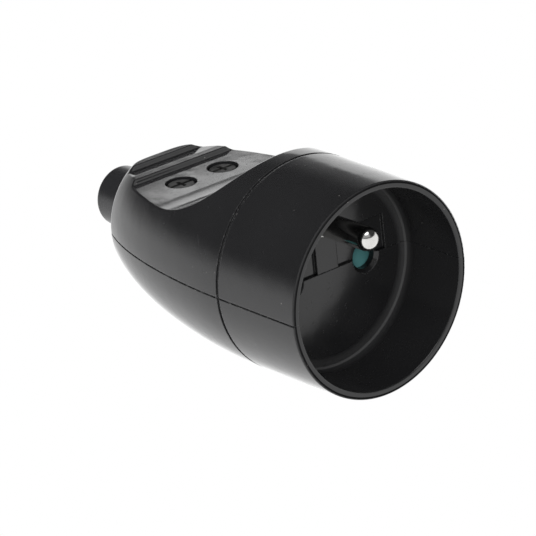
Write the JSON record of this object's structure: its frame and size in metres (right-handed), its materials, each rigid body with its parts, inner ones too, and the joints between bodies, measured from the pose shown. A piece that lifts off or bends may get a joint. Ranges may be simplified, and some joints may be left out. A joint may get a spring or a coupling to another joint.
{
  "type": "in-line power socket",
  "caption": "Rewireable in-line power socket: round cup with two contact holes and an earth pin, two-part black housing with thumb flat, rubber cord boot and sprung shutter.",
  "frame": {"origin": "centre of the cup's rim plane; the socket stands on its rim", "axes": "+Z along the socket's axis from the rim to the cord entry; -Y towards the earth pin, the thumb flat and the screw heads; the contact holes lie on the X axis"},
  "size_m": [0.0438, 0.0438, 0.083],
  "materials": {
    "housing_black": "glossy moulded thermoset",
    "boot_black": "satin rubber",
    "plated_steel": "nickel plated",
    "screw_steel": "blackened steel",
    "contact_brass": "plain brass",
    "zinc_steel": "zinc plated",
    "spring_steel": "drawn wire",
    "shutter_teal": "satin nylon",
    "carrier_grey": "satin moulded plastic"
  },
  "bodies": {
    "housing": {"upper_shell": "housing_black", "lower_shell": "housing_black", "left_housing_screw": "screw_steel", "right_housing_screw": "screw_steel", "left_housing_nut": "zinc_steel", "right_housing_nut": "zinc_steel", "cord_boot": "boot_black", "earth_pin": "plated_steel", "earth_terminal": "contact_brass", "earth_terminal_screw": "zinc_steel", "left_contact": "contact_brass", "right_contact": "contact_brass", "left_contact_clip": "spring_steel", "right_contact_clip": "spring_steel", "left_terminal_screw": "zinc_steel", "right_terminal_screw": "zinc_steel", "cord_grip": "carrier_grey", "left_grip_screw": "zinc_steel", "right_grip_screw": "zinc_steel", "shutter_spring": "spring_steel", "contact_carrier": "carrier_grey"},
    "shutter": {"shutter": "shutter_teal"}
  },
  "joints": [
    {"name": "shutter_slide", "type": "slide", "parent": "housing", "child": "shutter", "axis": [0, 1, 0], "range_m": [0, 0.0064], "stiffness_N_per_m": 60, "springref_m": -0.004, "deforming": ["shutter_spring"]}
  ]
}
